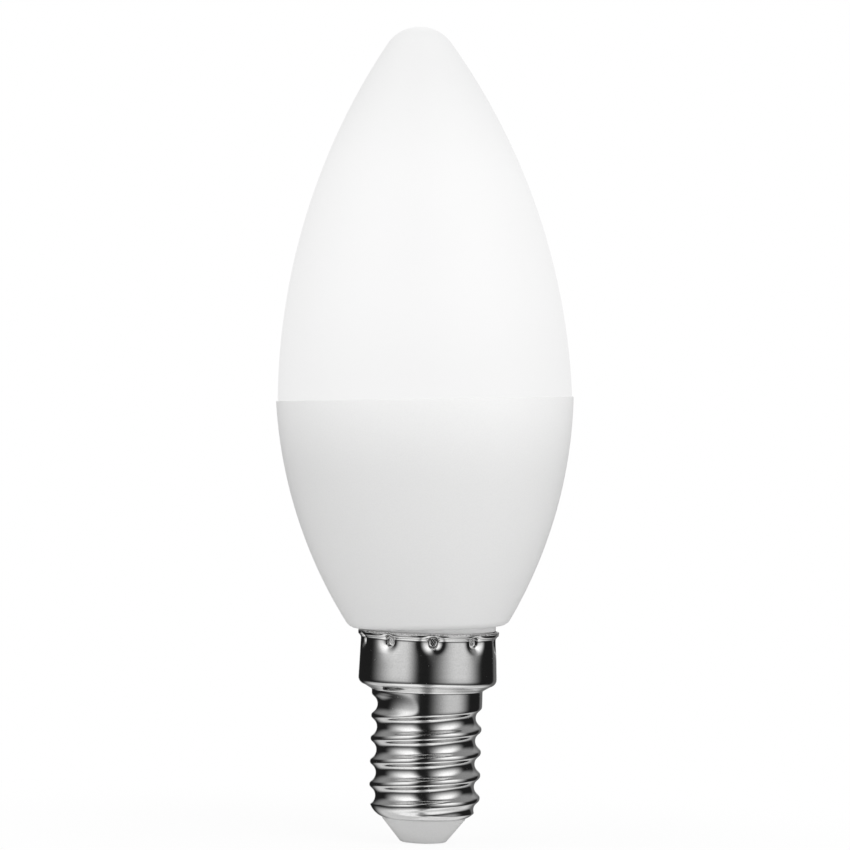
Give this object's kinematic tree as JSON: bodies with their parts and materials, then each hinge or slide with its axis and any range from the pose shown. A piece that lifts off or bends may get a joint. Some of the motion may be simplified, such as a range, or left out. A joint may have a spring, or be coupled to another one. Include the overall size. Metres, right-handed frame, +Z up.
{
  "type": "led candle lamp",
  "caption": "Candle-shaped LED lamp: glowing opal cover on a white housing, with a small Edison screw cap of rolled sheet, a cone insulator and a flat centre contact.",
  "frame": {"origin": "middle of the centre contact's lowest face, on the axis of the screw thread", "axes": "+Z up along the thread axis from the contact towards the tip of the candle, -Y towards the front as pictured"},
  "size_m": [0.0365, 0.0366, 0.1003],
  "materials": {
    "opal_cover": "opal white polycarbonate cover, satin and glowing evenly from within",
    "white_housing": "white moulded plastic with a soft sheen",
    "plated_sheet": "bright nickel-plated brass sheet, drawn and rolled",
    "insulator_plastic": "pale plain moulded insulating plastic",
    "plated_contact": "bright nickel-plated pin"
  },
  "bodies": {
    "root": {"diffuser": "opal_cover", "housing": "white_housing", "screw_shell": "plated_sheet", "insulator": "insulator_plastic", "centre_contact": "plated_contact"}
  },
  "joints": []
}
